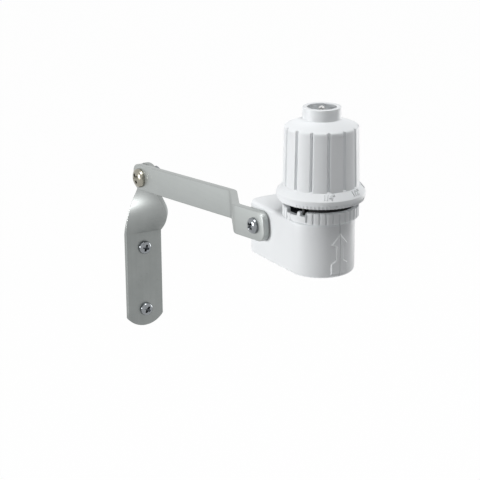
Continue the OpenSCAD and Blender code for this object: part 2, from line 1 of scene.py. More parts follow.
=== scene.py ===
"""Looks of the rain sensor on its jointed aluminium arm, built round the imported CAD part.

Lengths are worked out in millimetres and made metres when a mesh is made. The frame is the
part's own: the wall is Y = 0, +Z is up, the arm reaches out along -Y, and the bolt heads
look along -X. The sensor's pieces are drawn round the sensor's axis, with z = 0 at the top
of its housing.
"""

import bisect
import math

import bmesh
import bpy
from mathutils import Matrix, Vector


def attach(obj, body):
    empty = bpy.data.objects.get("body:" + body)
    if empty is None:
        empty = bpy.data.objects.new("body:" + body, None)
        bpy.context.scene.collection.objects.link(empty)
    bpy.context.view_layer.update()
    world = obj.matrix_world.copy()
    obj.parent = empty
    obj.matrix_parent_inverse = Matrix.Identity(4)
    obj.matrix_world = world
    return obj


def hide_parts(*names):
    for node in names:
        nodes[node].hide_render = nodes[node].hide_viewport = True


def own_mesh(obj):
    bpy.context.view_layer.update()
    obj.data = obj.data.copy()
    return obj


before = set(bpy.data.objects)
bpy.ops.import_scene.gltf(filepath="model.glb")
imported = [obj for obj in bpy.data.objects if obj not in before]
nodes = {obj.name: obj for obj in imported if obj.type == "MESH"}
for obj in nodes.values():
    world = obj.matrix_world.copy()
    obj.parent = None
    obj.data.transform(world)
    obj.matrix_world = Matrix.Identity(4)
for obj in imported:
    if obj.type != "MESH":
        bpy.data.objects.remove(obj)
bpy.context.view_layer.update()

MM = 0.001
TURN = math.tau
ON_AXIS = 0.0001

# Main sizes of the part, in millimetres
ARM_T, BRACKET_T = 3.2, 2.6
BRACKET_W = 19.8
WALL_PITCH = 33.2
PIVOT = Vector((0, -BRACKET_W / 2, 55.5))
TWIST_FROM, TWIST_LEN = 24.1, 24.2
WASHER_T = 0.4
MEET_X = -BRACKET_T / 2 - WASHER_T
ARM_LEN, ARM_W, ARM_END, ARM_CORNER = 130.8, 12.7, 7.4, 4.6
ARM_TILT = math.radians(5.8)
CLAMP = Vector((MEET_X, PIVOT.y - ARM_LEN * math.cos(ARM_TILT),
                PIVOT.z + ARM_LEN * math.sin(ARM_TILT)))
CLAMP_BACK, CLAMP_DROP = 23.7, 8.3
SENSOR = CLAMP + Vector((0, -CLAMP_BACK, CLAMP_DROP))
CASE_R, CASE_H, LOBE_LEN, LOBE_CORNER = 14.0, 22.9, 35.4, 6.0
CAP_Z = 6.65


# ---------------------------------------------------------------- meshes

def finished(name, mesh, material, body, node=None, sharp=32.0, second=None):
    """Turns a mesh in metres into a piece that rides on a body, its creases marked. Faces
    of material index 1 get the second material."""
    bm = bmesh.new()
    bm.from_mesh(mesh)
    bmesh.ops.remove_doubles(bm, verts=bm.verts, dist=2e-7)
    bmesh.ops.dissolve_degenerate(bm, edges=bm.edges, dist=1e-7)
    bmesh.ops.recalc_face_normals(bm, faces=bm.faces)
    limit = math.radians(sharp)
    for face in bm.faces:
        face.smooth = True
    for edge in bm.edges:
        edge.smooth = len(edge.link_faces) == 2 and edge.calc_face_angle(0) < limit
    bm.to_mesh(mesh)
    bm.free()
    mesh.materials.clear()
    mesh.materials.append(material)
    if second:
        mesh.materials.append(second)
    piece = bpy.data.objects.new(name, mesh)
    bpy.context.scene.collection.objects.link(piece)
    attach(piece, body)
    if node:
        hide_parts(node)
    return piece


def mesh_of(name, points, faces, place=None):
    """Mesh in metres from points in millimetres, moved by a matrix in millimetres."""
    place = place or Matrix.Identity(4)
    mesh = bpy.data.meshes.new(name)
    mesh.from_pydata([place @ Vector(p) * MM for p in points], [], faces)
    return mesh


def around(rows, closed=True):
    """Faces of a grid of rows, each a closed ring of the same count. Closed also joins the
    last row to the first."""
    count = len(rows[0])
    points = [p for row in rows for p in row]
    faces = []
    for i in range(len(rows) if closed else len(rows) - 1):
        for k in range(count):
            a, b = i * count, ((i + 1) % len(rows)) * count
            k2 = (k + 1) % count
            faces.append((a + k, a + k2, b + k2, b + k))
    return points, faces


def end_faces(points, count):
    """Faces that close the first and the last ring of a grid."""
    return [tuple(range(count)), tuple(range(len(points) - count, len(points)))]


def turned(profile, angles, shape=None, closed=True):
    """Points and faces of an outline (radius, height) turned about Z. shape(r, z, angle)
    may change a point's radius and height. Angle 0 looks along -Y, positive towards +X."""
    rows = []
    for r, z in profile:
        row = []
        for a in angles:
            rr, zz = shape(r, z, a) if shape else (r, z)
            row.append((rr * math.sin(a), -rr * math.cos(a), zz))
        rows.append(row)
    return around(rows, closed)


def full_turn(count):
    return [TURN * i / count for i in range(count)]


def eased(corners, steps=4):
    """Outline through corners (x, y, radius), each rounded to its radius."""
    out = []
    count = len(corners)
    for i, (x, y, radius) in enumerate(corners):
        here = Vector((x, y))
        before = Vector(corners[i - 1][:2]) - here
        after = Vector(corners[(i + 1) % count][:2]) - here
        if radius <= 0:
            out.append((x, y))
            continue
        half = before.angle(after) / 2
        reach = min(radius / math.tan(half), before.length / 2, after.length / 2)
        start, end = here + before.normalized() * reach, here + after.normalized() * reach
        for k in range(steps + 1):
            t = k / steps
            p = start * (1 - t) ** 2 + here * 2 * t * (1 - t) + end * t ** 2
            out.append((p.x, p.y))
    return out


def smooth_step(x, low, high):
    t = min(max((x - low) / (high - low), 0), 1)
    return t * t * (3 - 2 * t)


def cut(mesh, tool):
    """Mesh with the tool's mesh taken out of it."""
    body = bpy.data.objects.new("work", mesh)
    knife = bpy.data.objects.new("tool", tool)
    for o in (body, knife):
        bpy.context.scene.collection.objects.link(o)
    step = body.modifiers.new("cut", "BOOLEAN")
    step.operation, step.solver, step.object = "DIFFERENCE", "EXACT", knife
    graph = bpy.context.evaluated_depsgraph_get()
    result = bpy.data.meshes.new_from_object(body.evaluated_get(graph))
    for o in (body, knife):
        bpy.data.objects.remove(o)
    return result


def joined(*meshes):
    """One mesh of several loose ones."""
    bm = bmesh.new()
    for mesh in meshes:
        bm.from_mesh(mesh)
    out = bpy.data.meshes.new("joined")
    bm.to_mesh(out)
    bm.free()
    return out


def rod(r, z0, z1, place, count=40):
    """Closed cylinder along the place's Z from z0 to z1."""
    points, faces = turned([(ON_AXIS, z0), (r, z0), (r, z1), (ON_AXIS, z1)], full_turn(count),
                           closed=False)
    return mesh_of("rod", points, faces + end_faces(points, count), place)


def facing(point, direction):
    """Place whose +Z looks along a direction, at a point."""
    turn = Vector(direction).to_track_quat("Z", "Y").to_matrix().to_4x4()
    return Matrix.Translation(point) @ turn


AT_SENSOR = Matrix.Translation(SENSOR)


# ---------------------------------------------------------------- geometry nodes

class Sum:
    """A socket of a node tree, so that sums on sockets read as sums."""

    def __init__(self, tree, socket, maths):
        self.tree, self.socket, self.maths = tree, socket, maths

    def _with(self, operation, *terms):
        node = self.tree.nodes.new(self.maths)
        node.operation = operation
        for slot, term in zip(node.inputs, terms):
            if isinstance(term, Sum):
                self.tree.links.new(term.socket, slot)
            else:
                slot.default_value = term
        return Sum(self.tree, node.outputs[0], self.maths)

    def __add__(self, other):
        return self._with("ADD", self, other)

    def __radd__(self, other):
        return self._with("ADD", other, self)

    def __sub__(self, other):
        return self._with("SUBTRACT", self, other)

    def __rsub__(self, other):
        return self._with("SUBTRACT", other, self)

    def __mul__(self, other):
        return self._with("MULTIPLY", self, other)

    def __rmul__(self, other):
        return self._with("MULTIPLY", other, self)

    def call(self, operation, *others):
        return self._with(operation, self, *others)


class Maker:
    """A geometry node tree with named inputs, built node by node."""

    def __init__(self, name, **inputs):
        self.tree = bpy.data.node_groups.new(name, "GeometryNodeTree")
        self.keys = {}
        face = self.tree.interface
        for label, kind in inputs.items():
            item = face.new_socket(label, in_out="INPUT", socket_type=kind)
            self.keys[label] = item.identifier
        face.new_socket("Geometry", in_out="OUTPUT", socket_type="NodeSocketGeometry")
        self.given = self.tree.nodes.new("NodeGroupInput")
        self.end = self.tree.nodes.new("NodeGroupOutput")

    def input(self, label):
        return Sum(self.tree, self.given.outputs[label], "ShaderNodeMath")

    def node(self, kind, settings=None, **sockets):
        node = self.tree.nodes.new(kind)
        for key, value in (settings or {}).items():
            setattr(node, key, value)
        for key, value in sockets.items():
            slot = node.inputs[key.replace("_", " ")]
            if isinstance(value, Sum):
                self.tree.links.new(value.socket, slot)
            else:
                slot.default_value = value
        return node

    def out(self, node, label=0):
        return Sum(self.tree, node.outputs[label], "ShaderNodeMath")

    def close(self, instances):
        """Ends the tree in Realize Instances and Set Material."""
        real = self.node("GeometryNodeRealizeInstances", Geometry=instances)
        dressed = self.node("GeometryNodeSetMaterial", Geometry=self.out(real),
                            Material=self.input("Material"))
        self.tree.links.new(dressed.outputs[0], self.end.inputs[0])

    def run(self, seed_mesh, **values):
        """Plain mesh of the tree on a seed mesh, with its inputs set by identifier."""
        holder = bpy.data.objects.new("holder", seed_mesh)
        bpy.context.scene.collection.objects.link(holder)
        step = holder.modifiers.new("nodes", "NODES")
        step.node_group = self.tree
        for label, value in values.items():
            step[self.keys[label]] = value
        graph = bpy.context.evaluated_depsgraph_get()
        result = bpy.data.meshes.new_from_object(holder.evaluated_get(graph))
        bpy.data.objects.remove(holder)
        return result


def fasteners_tree():
    """Copies one fastener to every point of a mesh, all turned the same way."""
    maker = Maker("fasteners_at_places", Places="NodeSocketGeometry",
                  Fastener="NodeSocketObject", Turn="NodeSocketRotation",
                  Material="NodeSocketMaterial")
    one = maker.node("GeometryNodeObjectInfo", Object=maker.input("Fastener"))
    copies = maker.node("GeometryNodeInstanceOnPoints", Points=maker.input("Places"),
                        Instance=maker.out(one, "Geometry"), Rotation=maker.input("Turn"))
    maker.close(maker.out(copies))
    return maker


def round_tree():
    """Sets copies of one shape round the Z axis at even angles, from a first angle."""
    maker = Maker("copies_round_an_axis", Shape="NodeSocketObject", Count="NodeSocketInt",
                  First="NodeSocketFloat", Step="NodeSocketFloat",
                  Material="NodeSocketMaterial")
    one = maker.node("GeometryNodeObjectInfo", Object=maker.input("Shape"))
    spots = maker.node("GeometryNodePoints", Count=maker.input("Count"))
    index = maker.out(maker.node("GeometryNodeInputIndex"))
    angle = maker.input("First") + index * maker.input("Step")
    turn = maker.node("ShaderNodeCombineXYZ", Z=angle)
    copies = maker.node("GeometryNodeInstanceOnPoints", Points=maker.out(spots),
                        Instance=maker.out(one, "Geometry"), Rotation=maker.out(turn))
    maker.close(maker.out(copies))
    return maker


# ---------------------------------------------------------------- finishes

class Finish:
    """A material built from expressions on sockets."""

    def __init__(self, name):
        self.material = bpy.data.materials.new(name)
        self.material.use_nodes = True
        self.tree = self.material.node_tree
        self.tree.nodes.clear()
        self.end = self.tree.nodes.new("ShaderNodeOutputMaterial")
        self.place = self.sum(self.tree.nodes.new("ShaderNodeTexCoord").outputs["Object"])

    def sum(self, socket):
        return Sum(self.tree, socket, "ShaderNodeMath")

    def node(self, kind, settings=None, sockets=None):
        node = self.tree.nodes.new(kind)
        for key, value in (settings or {}).items():
            setattr(node, key, value)
        for key, value in (sockets or {}).items():
            if isinstance(value, Sum):
                self.tree.links.new(value.socket, node.inputs[key])
            else:
                node.inputs[key].default_value = value
        return node

    def stretched(self, scale):
        """Object coordinates, in metres, times a scale along each axis."""
        node = self.node("ShaderNodeMapping", sockets={"Vector": self.place, "Scale": scale})
        return self.sum(node.outputs[0])

    def noise(self, scale, detail=2.0, rough=0.5):
        """Noise from 0 to 1 of so many waves to the metre along each axis."""
        node = self.node("ShaderNodeTexNoise",
                         sockets={"Vector": self.stretched(scale), "Scale": 1.0,
                                  "Detail": detail, "Roughness": rough})
        return self.sum(node.outputs["Fac"])

    def spots(self, scale, low, high):
        """Soft spots from Voronoi cells, 1 in their middles."""
        node = self.node("ShaderNodeTexVoronoi",
                         sockets={"Vector": self.stretched(scale), "Scale": 1.0})
        return self.band(self.sum(node.outputs["Distance"]), high, low)

    def band(self, value, low, high):
        node = self.node("ShaderNodeMapRange", {"clamp": True},
                         {"Value": value, "From Min": low, "From Max": high})
        return self.sum(node.outputs[0])

    def mixed(self, share, one, other):
        node = self.node("ShaderNodeMix", {"data_type": "RGBA"})
        for index, value in ((0, share), (6, one), (7, other)):
            if isinstance(value, Sum):
                self.tree.links.new(value.socket, node.inputs[index])
            else:
                node.inputs[index].default_value = (
                    value if index == 0 else (*value, 1.0))
        return self.sum(node.outputs[2])

    def bump(self, height, strength, distance):
        node = self.node("ShaderNodeBump", sockets={"Height": height, "Strength": strength,
                                                    "Distance": distance})
        return self.sum(node.outputs[0])

    def done(self, **sockets):
        """Ends the material in one principled shader."""
        values = {key.replace("_", " "): value for key, value in sockets.items()}
        shader = self.node("ShaderNodeBsdfPrincipled", sockets=values)
        self.tree.links.new(shader.outputs[0], self.end.inputs["Surface"])
        return self.material


def moulded_plastic(name, colour, shade, rough, grain=0.12):
    """Satin moulded plastic: fine spark-eroded grain, faint flow marks, a little dust."""
    f = Finish(name)
    cloud = f.noise((60, 60, 35), 3.0)
    grain_noise = f.noise((4200, 4200, 4200), 2.0, 0.6)
    flow = f.noise((25, 25, 140), 2.0)
    dust = f.band(f.noise((420, 420, 420), 4.0, 0.7), 0.60, 0.78)
    base = f.mixed(cloud * 0.6 + dust * 0.35, colour, shade)
    return f.done(Base_Color=base, Roughness=rough + flow * 0.06 + dust * 0.08,
                  Normal=f.bump(grain_noise * 0.8 + flow * 0.2, grain, 0.00005))


def rolled_aluminium(name, colour, shade, along, rough=0.36, painted_highlight=None):
    """Mill-finished strip: rolling lines along it, soft tarnish, pits and stray scratches.
    painted_highlight is (low, high, colour): a painted highlight, the strip's colour lightened
    towards that colour above a height."""
    f = Finish(name)
    line = [2600, 2600, 2600]
    line[along] = 26
    broad = [420, 420, 420]
    broad[along] = 14
    lines = f.noise(tuple(line), 3.0, 0.6)
    streaks = f.noise(tuple(broad), 2.0)
    tarnish = f.noise((75, 75, 75), 4.0, 0.6)
    fine = f.noise((900, 900, 900), 3.0, 0.7)
    pits = f.spots((650, 650, 650), 0.05, 0.22) * f.band(fine, 0.52, 0.62)
    across = [60, 60, 60]
    across[along] = 1900
    scratch = f.band(f.noise(tuple(across), 1.0), 0.68, 0.72)
    worn = tarnish * 0.55 + streaks * 0.25 + pits * 0.5
    base = f.mixed(f.band(worn, 0.15, 0.85), colour, shade)
    # Painted highlight: the colour turns lighter above a height, where the strip catches the
    # lamps' light
    if painted_highlight:
        low, high, highlight_colour = painted_highlight
        split = f.node("ShaderNodeSeparateXYZ", sockets={"Vector": f.place})
        base = f.mixed(f.band(f.sum(split.outputs["Z"]), low, high) * (1 - tarnish * 0.3),
                       base, highlight_colour)
    return f.done(Base_Color=base, Metallic=1.0,
                  Roughness=rough + lines * 0.10 + tarnish * 0.12 + pits * 0.15,
                  Normal=f.bump(lines * 0.35 + streaks * 0.5 + fine * 0.15 - pits * 0.5
                                - scratch * 0.12, 0.22, 0.00008))


def plated_steel(name, colour, shade, rough):
    """Bright plating: slight cloudiness, fine turning marks and small dull spots."""
    f = Finish(name)
    cloud = f.noise((900, 900, 900), 3.0)
    fine = f.noise((6000, 6000, 6000), 2.0)
    dull = f.band(f.noise((1500, 1500, 1500), 4.0, 0.7), 0.58, 0.75)
    return f.done(Base_Color=f.mixed(cloud * 0.5 + dull * 0.5, colour, shade), Metallic=1.0,
                  Roughness=rough + cloud * 0.08 + dull * 0.18,
                  Normal=f.bump(fine * 0.5 + cloud * 0.5, 0.10, 0.00003))


def dark_moulding(name, colour, shade, rough):
    f = Finish(name)
    cloud = f.noise((300, 300, 300), 3.0)
    grain = f.noise((5000, 5000, 5000), 2.0)
    return f.done(Base_Color=f.mixed(cloud, colour, shade), Roughness=rough + cloud * 0.1,
                  Normal=f.bump(grain, 0.15, 0.00004))


def pressed_fibre(name):
    """Absorbing disc: felted cork-brown fibres lying flat in the disc."""
    f = Finish(name)
    felt = f.noise((1400, 1400, 4200), 5.0, 0.75)
    fleck = f.spots((900, 900, 900), 0.1, 0.5)
    return f.done(Base_Color=f.mixed(f.band(felt, 0.35, 0.65) * 0.7 + fleck * 0.3,
                                     (0.62, 0.50, 0.36), (0.40, 0.29, 0.18)),
                  Roughness=0.85 + felt * 0.1, Normal=f.bump(felt, 0.5, 0.0002))


white_plastic = moulded_plastic("housing_plastic", (0.80, 0.82, 0.835), (0.765, 0.785, 0.80),
                                0.42)
plunger_plastic = moulded_plastic("plunger_plastic", (0.86, 0.86, 0.85), (0.80, 0.80, 0.79),
                                  0.35, 0.06)
# The bracket's aluminium is darker than the arm's as painted shade for its faces turned from the
# lamps, and lighter from 24 mm up as a painted highlight on its twist and tab
bracket_metal_painted_light = rolled_aluminium("bracket_aluminium_painted_light", (0.30, 0.315, 0.31),
                                 (0.21, 0.225, 0.22), 2, 0.35,
                                 (0.024, 0.036, (0.33, 0.345, 0.34)))
arm_metal = rolled_aluminium("arm_aluminium", (0.40, 0.42, 0.413), (0.32, 0.338, 0.333), 1, 0.34)
zinc = plated_steel("zinc_plate", (0.30, 0.315, 0.33), (0.11, 0.12, 0.13), 0.15)
nickel = plated_steel("nickel_plate", (0.36, 0.345, 0.295), (0.23, 0.22, 0.18), 0.16)
drawn_wire = plated_steel("drawn_wire", (0.55, 0.55, 0.56), (0.42, 0.42, 0.43), 0.25)
stamped_brass = plated_steel("stamped_brass", (0.75, 0.58, 0.28), (0.60, 0.44, 0.20), 0.28)
recess_shade = plated_steel("recess_shade", (0.060, 0.062, 0.058), (0.035, 0.036, 0.034), 0.45)
# Grey for the raised dial marks: painted shade along their strokes, which are moulded in the
# cap's own white plastic
mark_painted_shade = moulded_plastic("mark_painted_shade", (0.62, 0.64, 0.65), (0.58, 0.60, 0.61), 0.45)
# Near-black moulding: the switch body's own black, and painted shade on the vent hub
black_plastic_and_hub_shade = dark_moulding("black_moulding_and_hub_shade", (0.022, 0.023, 0.024), (0.012, 0.012, 0.013), 0.5)
black_rubber = dark_moulding("inlet_rubber", (0.03, 0.03, 0.03), (0.016, 0.016, 0.016), 0.75)
red_plastic = dark_moulding("button_plastic", (0.45, 0.05, 0.04), (0.36, 0.03, 0.03), 0.4)
disc_fibre = pressed_fibre("disc_fibre")


# ---------------------------------------------------------------- strips

def strip_rows(outline, layers, at):
    """Rows of points round a flat strip's edge, one row for each layer (out, inset).
    outline(inset) gives the right-hand half of its plan, from its first end to its last, as
    (along, across); at(along, across, out) puts a point in space."""
    rows = []
    for out, inset in layers:
        half = outline(inset)
        ring = half + [(a, -w) for a, w in reversed(half)]
        rows.append([at(a, w, out) for a, w in ring])
    return rows


def strip_mesh(name, outline, at, thick, edge, steps=3):
    """Flat strip with eased edges. Its broad faces are ladders of quads."""
    layers = [(-thick / 2 + edge - edge * math.sin(math.pi / 2 * (1 - k / steps)),
               edge - edge * math.cos(math.pi / 2 * (1 - k / steps)))
              for k in range(steps + 1)]
    layers += [(-o, i) for o, i in reversed(layers)]
    rows = strip_rows(outline, layers, at)
    points, faces = around(rows, closed=False)
    count = len(rows[0])
    half = count // 2
    last = (len(rows) - 1) * count
    for k in range(half - 1):
        a, b, c, d = k, k + 1, count - 2 - k, count - 1 - k
        faces.append((a, d, c, b))
        faces.append((last + a, last + b, last + c, last + d))
    return mesh_of(name, points, faces)


def spaced(low, high, step):
    count = max(1, math.ceil((high - low) / step))
    return [low + (high - low) * i / count for i in range(count + 1)]


# Bracket: a flat strip whose ends are cut by shallow arcs
WALL_END, TAB_END = 9.0, 6.8
BRACKET_LOW, BRACKET_TOP = -WALL_PITCH / 2 - WALL_END, PIVOT.z + TAB_END
END_R, BRACKET_CORNER = 12.5, 1.6
STRIP_EDGE = 0.4


def bracket_outline(inset):
    half = BRACKET_W / 2 - inset
    sweep = math.asin((half - BRACKET_CORNER * 0.4) / (END_R - inset))
    low_c, top_c = BRACKET_LOW + END_R, BRACKET_TOP - END_R
    arc = [sweep * i / 12 for i in range(13)]
    drop = (END_R - inset) * math.cos(sweep) - BRACKET_CORNER * 0.55
    low = [(low_c - (END_R - inset) * math.cos(a), (END_R - inset) * math.sin(a)) for a in arc]
    top = [(top_c + (END_R - inset) * math.cos(a), (END_R - inset) * math.sin(a)) for a in arc]
    sides = spaced(low_c - drop, TWIST_FROM, 4)[:-1]
    sides += spaced(TWIST_FROM, TWIST_FROM + TWIST_LEN, 0.5)
    sides += spaced(TWIST_FROM + TWIST_LEN, top_c + drop, 2)[1:]
    return low + [(z, half) for z in sides] + top[::-1]


def bracket_at(along, across, out):
    share = min(max((along - TWIST_FROM) / TWIST_LEN, 0), 1)
    a = math.pi / 2 * share
    middle = -BRACKET_T / 2 * math.cos(a) - BRACKET_W / 2 * math.sin(a)
    return (across * math.cos(a) + out * math.sin(a),
            middle - across * math.sin(a) + out * math.cos(a), along)


bracket = strip_mesh("bracket", bracket_outline, bracket_at, BRACKET_T, STRIP_EDGE)
finished("wall_strip", bracket, bracket_metal_painted_light, "mount", "wall_bracket", sharp=40)

# Arm: a narrower strip with rounded corners and a joggle of two bends
JOGGLE_FLAT, JOGGLE_ANGLE, JOGGLE_R, JOGGLE_OUT = 14.4, math.radians(28.5), 9.0, CASE_R
JOGGLE_RUN = (2 * JOGGLE_R * math.sin(JOGGLE_ANGLE)
              + (JOGGLE_OUT - 2 * JOGGLE_R * (1 - math.cos(JOGGLE_ANGLE)))
              / math.tan(JOGGLE_ANGLE))
JOGGLE_FROM = ARM_LEN - JOGGLE_FLAT - JOGGLE_RUN
JOGGLE_BEND = JOGGLE_R * math.sin(JOGGLE_ANGLE)


def joggle_middle(s):
    """Middle line of the arm's side view at a place along it: sideways place and slope."""
    x = s - JOGGLE_FROM
    if x <= 0:
        return 0.0, 0.0
    if x < JOGGLE_BEND:
        slope = math.asin(x / JOGGLE_R)
        return JOGGLE_R * (1 - math.cos(slope)), slope
    back = JOGGLE_RUN - x
    if back <= 0:
        return JOGGLE_OUT, 0.0
    if back < JOGGLE_BEND:
        slope = math.asin(back / JOGGLE_R)
        return JOGGLE_OUT - JOGGLE_R * (1 - math.cos(slope)), slope
    first = JOGGLE_R * (1 - math.cos(JOGGLE_ANGLE))
    return first + (x - JOGGLE_BEND) * math.tan(JOGGLE_ANGLE), JOGGLE_ANGLE


def arm_outline(inset):
    half, r, end = ARM_W / 2 - inset, ARM_CORNER - inset, ARM_END - inset
    arc = [math.pi / 2 * i / 10 for i in range(11)]
    corner = [(end - r * (1 - math.cos(a)), half - r * (1 - math.sin(a))) for a in arc]
    first = [(-end, 0)] + [(-s, w) for s, w in corner]
    last = [(ARM_LEN + s, w) for s, w in reversed(corner)] + [(ARM_LEN + end, 0)]
    to = JOGGLE_FROM + JOGGLE_RUN
    stops = spaced(0, JOGGLE_FROM, 6)
    stops += spaced(JOGGLE_FROM, JOGGLE_FROM + JOGGLE_BEND, 0.5)[1:]
    stops += spaced(JOGGLE_FROM + JOGGLE_BEND, to - JOGGLE_BEND, 2.5)[1:]
    stops += spaced(to - JOGGLE_BEND, to, 0.5)[1:]
    stops += spaced(to, ARM_LEN, 3)[1:]
    return first + [(s, half) for s in stops] + last


def arm_at(along, across, out):
    aside, slope = joggle_middle(along)
    s = along - out * math.sin(slope)
    away = aside + ARM_T / 2 + out * math.cos(slope)
    return (MEET_X - away, PIVOT.y - s * math.cos(ARM_TILT) + across * math.sin(ARM_TILT),
            PIVOT.z + s * math.sin(ARM_TILT) + across * math.cos(ARM_TILT))


arm = strip_mesh("arm_strip", arm_outline, arm_at, ARM_T, STRIP_EDGE)
finished("arm_strip", arm, arm_metal, "arm", "arm", sharp=40)


# ---------------------------------------------------------------- screws, bolts and nuts

CROWN_STEPS = 12
WALL_R, WALL_LEN, WALL_HEAD_R, WALL_HEAD_H = 1.75, 15, 3.4, 2.3
PIVOT_R, PIVOT_HEAD_R, PIVOT_HEAD_H, PIVOT_NUT_H, PIVOT_OVER = 2.4, 4.75, 3.0, 4, 0.8
CLAMP_R, CLAMP_HEAD_R, CLAMP_HEAD_H, CLAMP_NUT_H = 1.75, 3.45, 2.2, 2.6
CLAMP_POCKET_R, CLAMP_POCKET, CLAMP_WASHER_T = 4.05, 3.6, 0.8
CASE_SCREW_R, CASE_SCREW_LEN, CASE_HEAD_R, CASE_HEAD_H = 1.1, 21.6, 1.9, 1.2

# How far round each fastener was left, in radians
WALL_TURNS, CASE_TURNS = (0.35, 0.62), (0.2, 0.9, 0.5)
PIVOT_TURN, CLAMP_TURN, NUT_TURN = 0.5, 0.9, 0.3


def cross_recess(r, depth):
    """Tool that cuts a tapered cross recess down from z = 0: four blades that narrow
    towards the bottom, and a cone between them."""
    parts = []
    for turn in (0, TURN / 4):
        c, s = math.cos(turn), math.sin(turn)
        points = []
        for z, length, width in ((0.3, 1.14, 0.36), (-depth * 0.5, 0.90, 0.30),
                                 (-depth, 0.40, 0.20)):
            for x, y in ((-1, -1), (1, -1), (1, 1), (-1, 1)):
                px, py = x * r * length / 2, y * r * width / 2
                points.append((px * c - py * s, px * s + py * c, z))
        faces = [(0, 1, 2, 3), (11, 10, 9, 8)]
        for low in (0, 4):
            for k in range(4):
                k2 = (k + 1) % 4
                faces.append((low + k, low + 4 + k, low + 4 + k2, low + k2))
        parts.append((points, faces))
    return parts


def recess_cut(mesh, r, top, place):
    for points, faces in cross_recess(r, r * 0.62):
        mesh = cut(mesh, turned_out(mesh_of("blade", [(x, y, z + top) for x, y, z in points],
                                            faces, place)))
    cone = mesh_of("cone", *turned([(ON_AXIS, top + 0.3), (r * 0.36, top + 0.3),
                                    (r * 0.20, top - r * 0.45), (ON_AXIS, top - r * 0.66)],
                                   full_turn(24), closed=False), place)
    return cut(mesh, turned_out(cone))


def shade_recess(mesh, place, r, h):
    """Gives the faces of a head's cross recess material index 1."""
    crown = head_profile(r, h, r)[:CROWN_STEPS + 1]
    back = place.inverted()
    for face in mesh.polygons:
        p = back @ (face.center / MM)
        off = math.hypot(p.x, p.y)
        if off > r * 0.66 or not h - r * 0.7 < p.z < h + 0.1:
            continue
        i = min(bisect.bisect([c[0] for c in crown], off), len(crown) - 1)
        face.material_index = 1 if p.z < crown[i][1] - r * 0.03 else 0


def turned_out(mesh):
    """The same mesh, closed and with its faces turned outwards."""
    bm = bmesh.new()
    bm.from_mesh(mesh)
    bmesh.ops.remove_doubles(bm, verts=bm.verts, dist=1e-6)
    holes = [e for e in bm.edges if e.is_boundary]
    if holes:
        bmesh.ops.holes_fill(bm, edges=holes)
    bmesh.ops.recalc_face_normals(bm, faces=bm.faces)
    bm.to_mesh(mesh)
    bm.free()
    return mesh


def head_profile(r, h, neck):
    """Pan head from its crown's middle out and down to its shank."""
    crown = [(ON_AXIS, h)]
    for k in range(1, CROWN_STEPS + 1):
        a = math.pi / 2 * k / CROWN_STEPS
        crown.append((r * 0.985 * math.sin(a) ** 0.9,
                      h * (0.30 + 0.70 * max(math.cos(a), 0) ** 0.75)))
    return crown + [(r, h * 0.22), (r * 0.985, 0.04), (r * 0.95, 0.0), (neck, 0.0)]


def threaded(r, start, end, pitch, root):
    """Outline rows and shape of a threaded shank, from z = start down to z = end."""
    steps = max(2, int((start - end) / pitch * 9))
    rows = [(r, start + (end - start) * i / steps) for i in range(steps + 1)]

    def shape(rr, z, a):
        if rr != r:
            return rr, z
        phase = (z / pitch + a / TURN) % 1
        ridge = 1 - abs(2 * phase - 1)
        fade = smooth_step(start - z, 0, pitch) * smooth_step(z - end, 0, pitch * 0.5)
        return r - (r - root) * fade * (1 - smooth_step(ridge, 0.1, 0.8)), z

    return rows, shape


def screw_mesh(name, place, r, length, head_r, head_h, *, pitch, plain, tip):
    """Pan-head screw along +Z of its place, its head's seat at 0. Its thread starts past a
    plain shank and ends at a tip."""
    rows, shape = threaded(r, -plain, -length + tip, pitch, r * 0.80)
    profile = head_profile(head_r, head_h, r + 0.02) + [(r + 0.01, -0.05), (r + 0.01, -plain)]
    profile += rows + [(r * 0.35, -length), (ON_AXIS, -length)]
    points, faces = turned(profile, full_turn(36), shape, closed=False)
    mesh = turned_out(mesh_of(name, points, faces, place))
    return recess_cut(mesh, head_r, head_h, place)


def unit(name, mesh):
    """Object that a geometry node tree copies."""
    o = bpy.data.objects.new(name, mesh)
    bpy.context.scene.collection.objects.link(o)
    return o


def points_mesh(places):
    mesh = bpy.data.meshes.new("places")
    mesh.from_pydata([Vector(p) * MM for p in places], [], [])
    return mesh


fasteners = fasteners_tree()
round_copies = round_tree()

wall_screw = unit("one_wall_screw",
                  screw_mesh("one_wall_screw", Matrix.Identity(4), WALL_R, WALL_LEN, WALL_HEAD_R,
                             WALL_HEAD_H, pitch=1.3, plain=3, tip=3.5))
wall_places = [(0, -BRACKET_T, WALL_PITCH / 2), (0, -BRACKET_T, -WALL_PITCH / 2)]
screws = [fasteners.run(points_mesh([place]), Fastener=wall_screw,
                        Turn=(math.pi / 2, turn, 0), Material=zinc)
          for place, turn in zip(wall_places, WALL_TURNS)]
screws = joined(*screws)
for place in wall_places:
    shade_recess(screws, Matrix.Translation(place) @ Matrix.Rotation(math.pi / 2, 4, "X"),
                 WALL_HEAD_R, WALL_HEAD_H)
finished("wall_screw_pair", screws, zinc, "mount", "wall_screws", second=recess_shade)
bpy.data.objects.remove(wall_screw)

PIVOT_GRIP = ARM_T + WASHER_T + BRACKET_T
pivot_seat = (facing((MEET_X - ARM_T, PIVOT.y, PIVOT.z), (-1, 0, 0))
              @ Matrix.Rotation(PIVOT_TURN, 4, "Z"))
bolt = screw_mesh("hinge_bolt", pivot_seat, PIVOT_R, PIVOT_GRIP + PIVOT_NUT_H + PIVOT_OVER,
                  PIVOT_HEAD_R, PIVOT_HEAD_H, pitch=0.8, plain=PIVOT_GRIP - 1, tip=0.5)
shade_recess(bolt, pivot_seat, PIVOT_HEAD_R, PIVOT_HEAD_H)
finished("hinge_bolt", bolt, nickel, "mount", "pivot_bolt", second=recess_shade)

